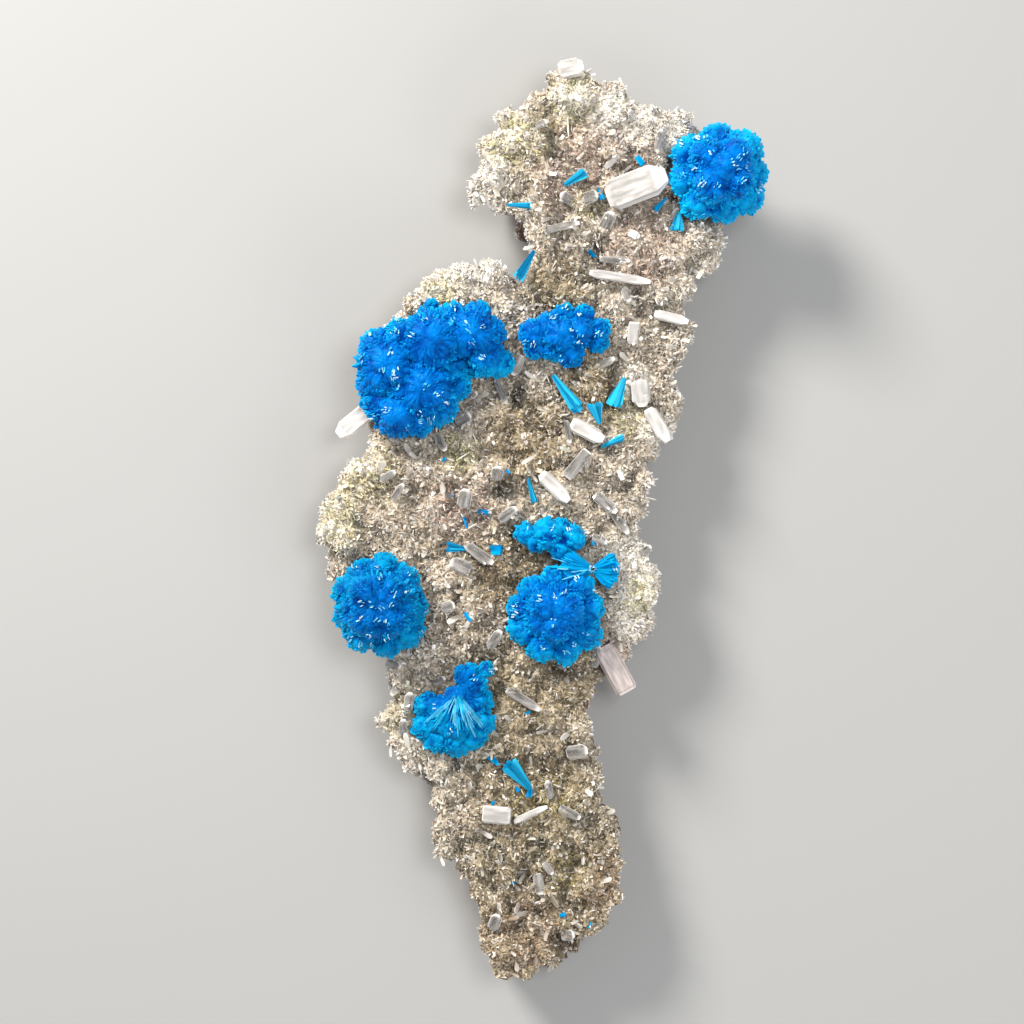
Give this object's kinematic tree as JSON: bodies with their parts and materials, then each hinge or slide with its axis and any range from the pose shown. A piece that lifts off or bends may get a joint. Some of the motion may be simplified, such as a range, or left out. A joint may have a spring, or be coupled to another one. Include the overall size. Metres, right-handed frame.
{
  "type": "heulandite mineral specimen with cavansite",
  "caption": "Long natural plate of heulandite druse lying on its trimmed back, with blue cavansite rosettes and pale coffin-shaped crystals on its face.",
  "frame": {"origin": "middle of the specimen's box, on the surface that its trimmed back rests on", "axes": "+Y along the specimen's length towards its narrow upper tip, +X across it to the right, +Z out of the crystal face"},
  "size_m": [0.0547, 0.1112, 0.0183],
  "materials": {
    "druse": "sugary glassy crystal crust on reddish rock",
    "pale_crystal": "glassy to pearly, half clear",
    "cavansite": "bright blue, glassy on the blade ends"
  },
  "bodies": {
    "root": {"cavansite_ball_lower_left": "cavansite", "cavansite_ball_upper_right": "cavansite", "cavansite_blade_head": "cavansite", "cavansite_blade_head_left": "cavansite", "cavansite_blade_right": "cavansite", "cavansite_bow_right": "cavansite", "cavansite_cluster_left": "cavansite", "cavansite_fan_lower": "cavansite", "cavansite_fan_under_ball": "cavansite", "cavansite_needle_centre": "cavansite", "cavansite_pair_lower_right": "cavansite", "cavansite_prism_notch": "cavansite", "cavansite_rosette_centre": "cavansite", "cavansite_sheaf_foot": "cavansite", "cavansite_sheaf_middle": "cavansite", "cavansite_sheaf_middle_right": "cavansite", "cavansite_sheaf_under_crystal": "cavansite", "cavansite_tuft_under_crystal": "cavansite", "heulandite_crystal_apex": "pale_crystal", "heulandite_crystal_block": "pale_crystal", "heulandite_crystal_bright": "pale_crystal", "heulandite_crystal_clear": "pale_crystal", "heulandite_crystal_coffin": "pale_crystal", "heulandite_crystal_foot": "pale_crystal", "heulandite_crystal_foot_clear": "pale_crystal", "heulandite_crystal_grey": "pale_crystal", "heulandite_crystal_large": "pale_crystal", "heulandite_crystal_left_edge": "pale_crystal", "heulandite_crystal_long": "pale_crystal", "heulandite_crystal_lower": "pale_crystal", "heulandite_crystal_lower_rim": "pale_crystal", "heulandite_crystal_middle": "pale_crystal", "heulandite_crystal_pink": "pale_crystal", "heulandite_crystal_right_clear": "pale_crystal", "heulandite_crystal_right_end": "pale_crystal", "heulandite_crystal_right_rim": "pale_crystal", "heulandite_crystal_shoulder": "pale_crystal", "heulandite_crystal_tablet": "pale_crystal", "heulandite_crystal_waist": "pale_crystal", "heulandite_crystal_white_block": "pale_crystal", "heulandite_druse_plate": "druse"}
  },
  "joints": []
}
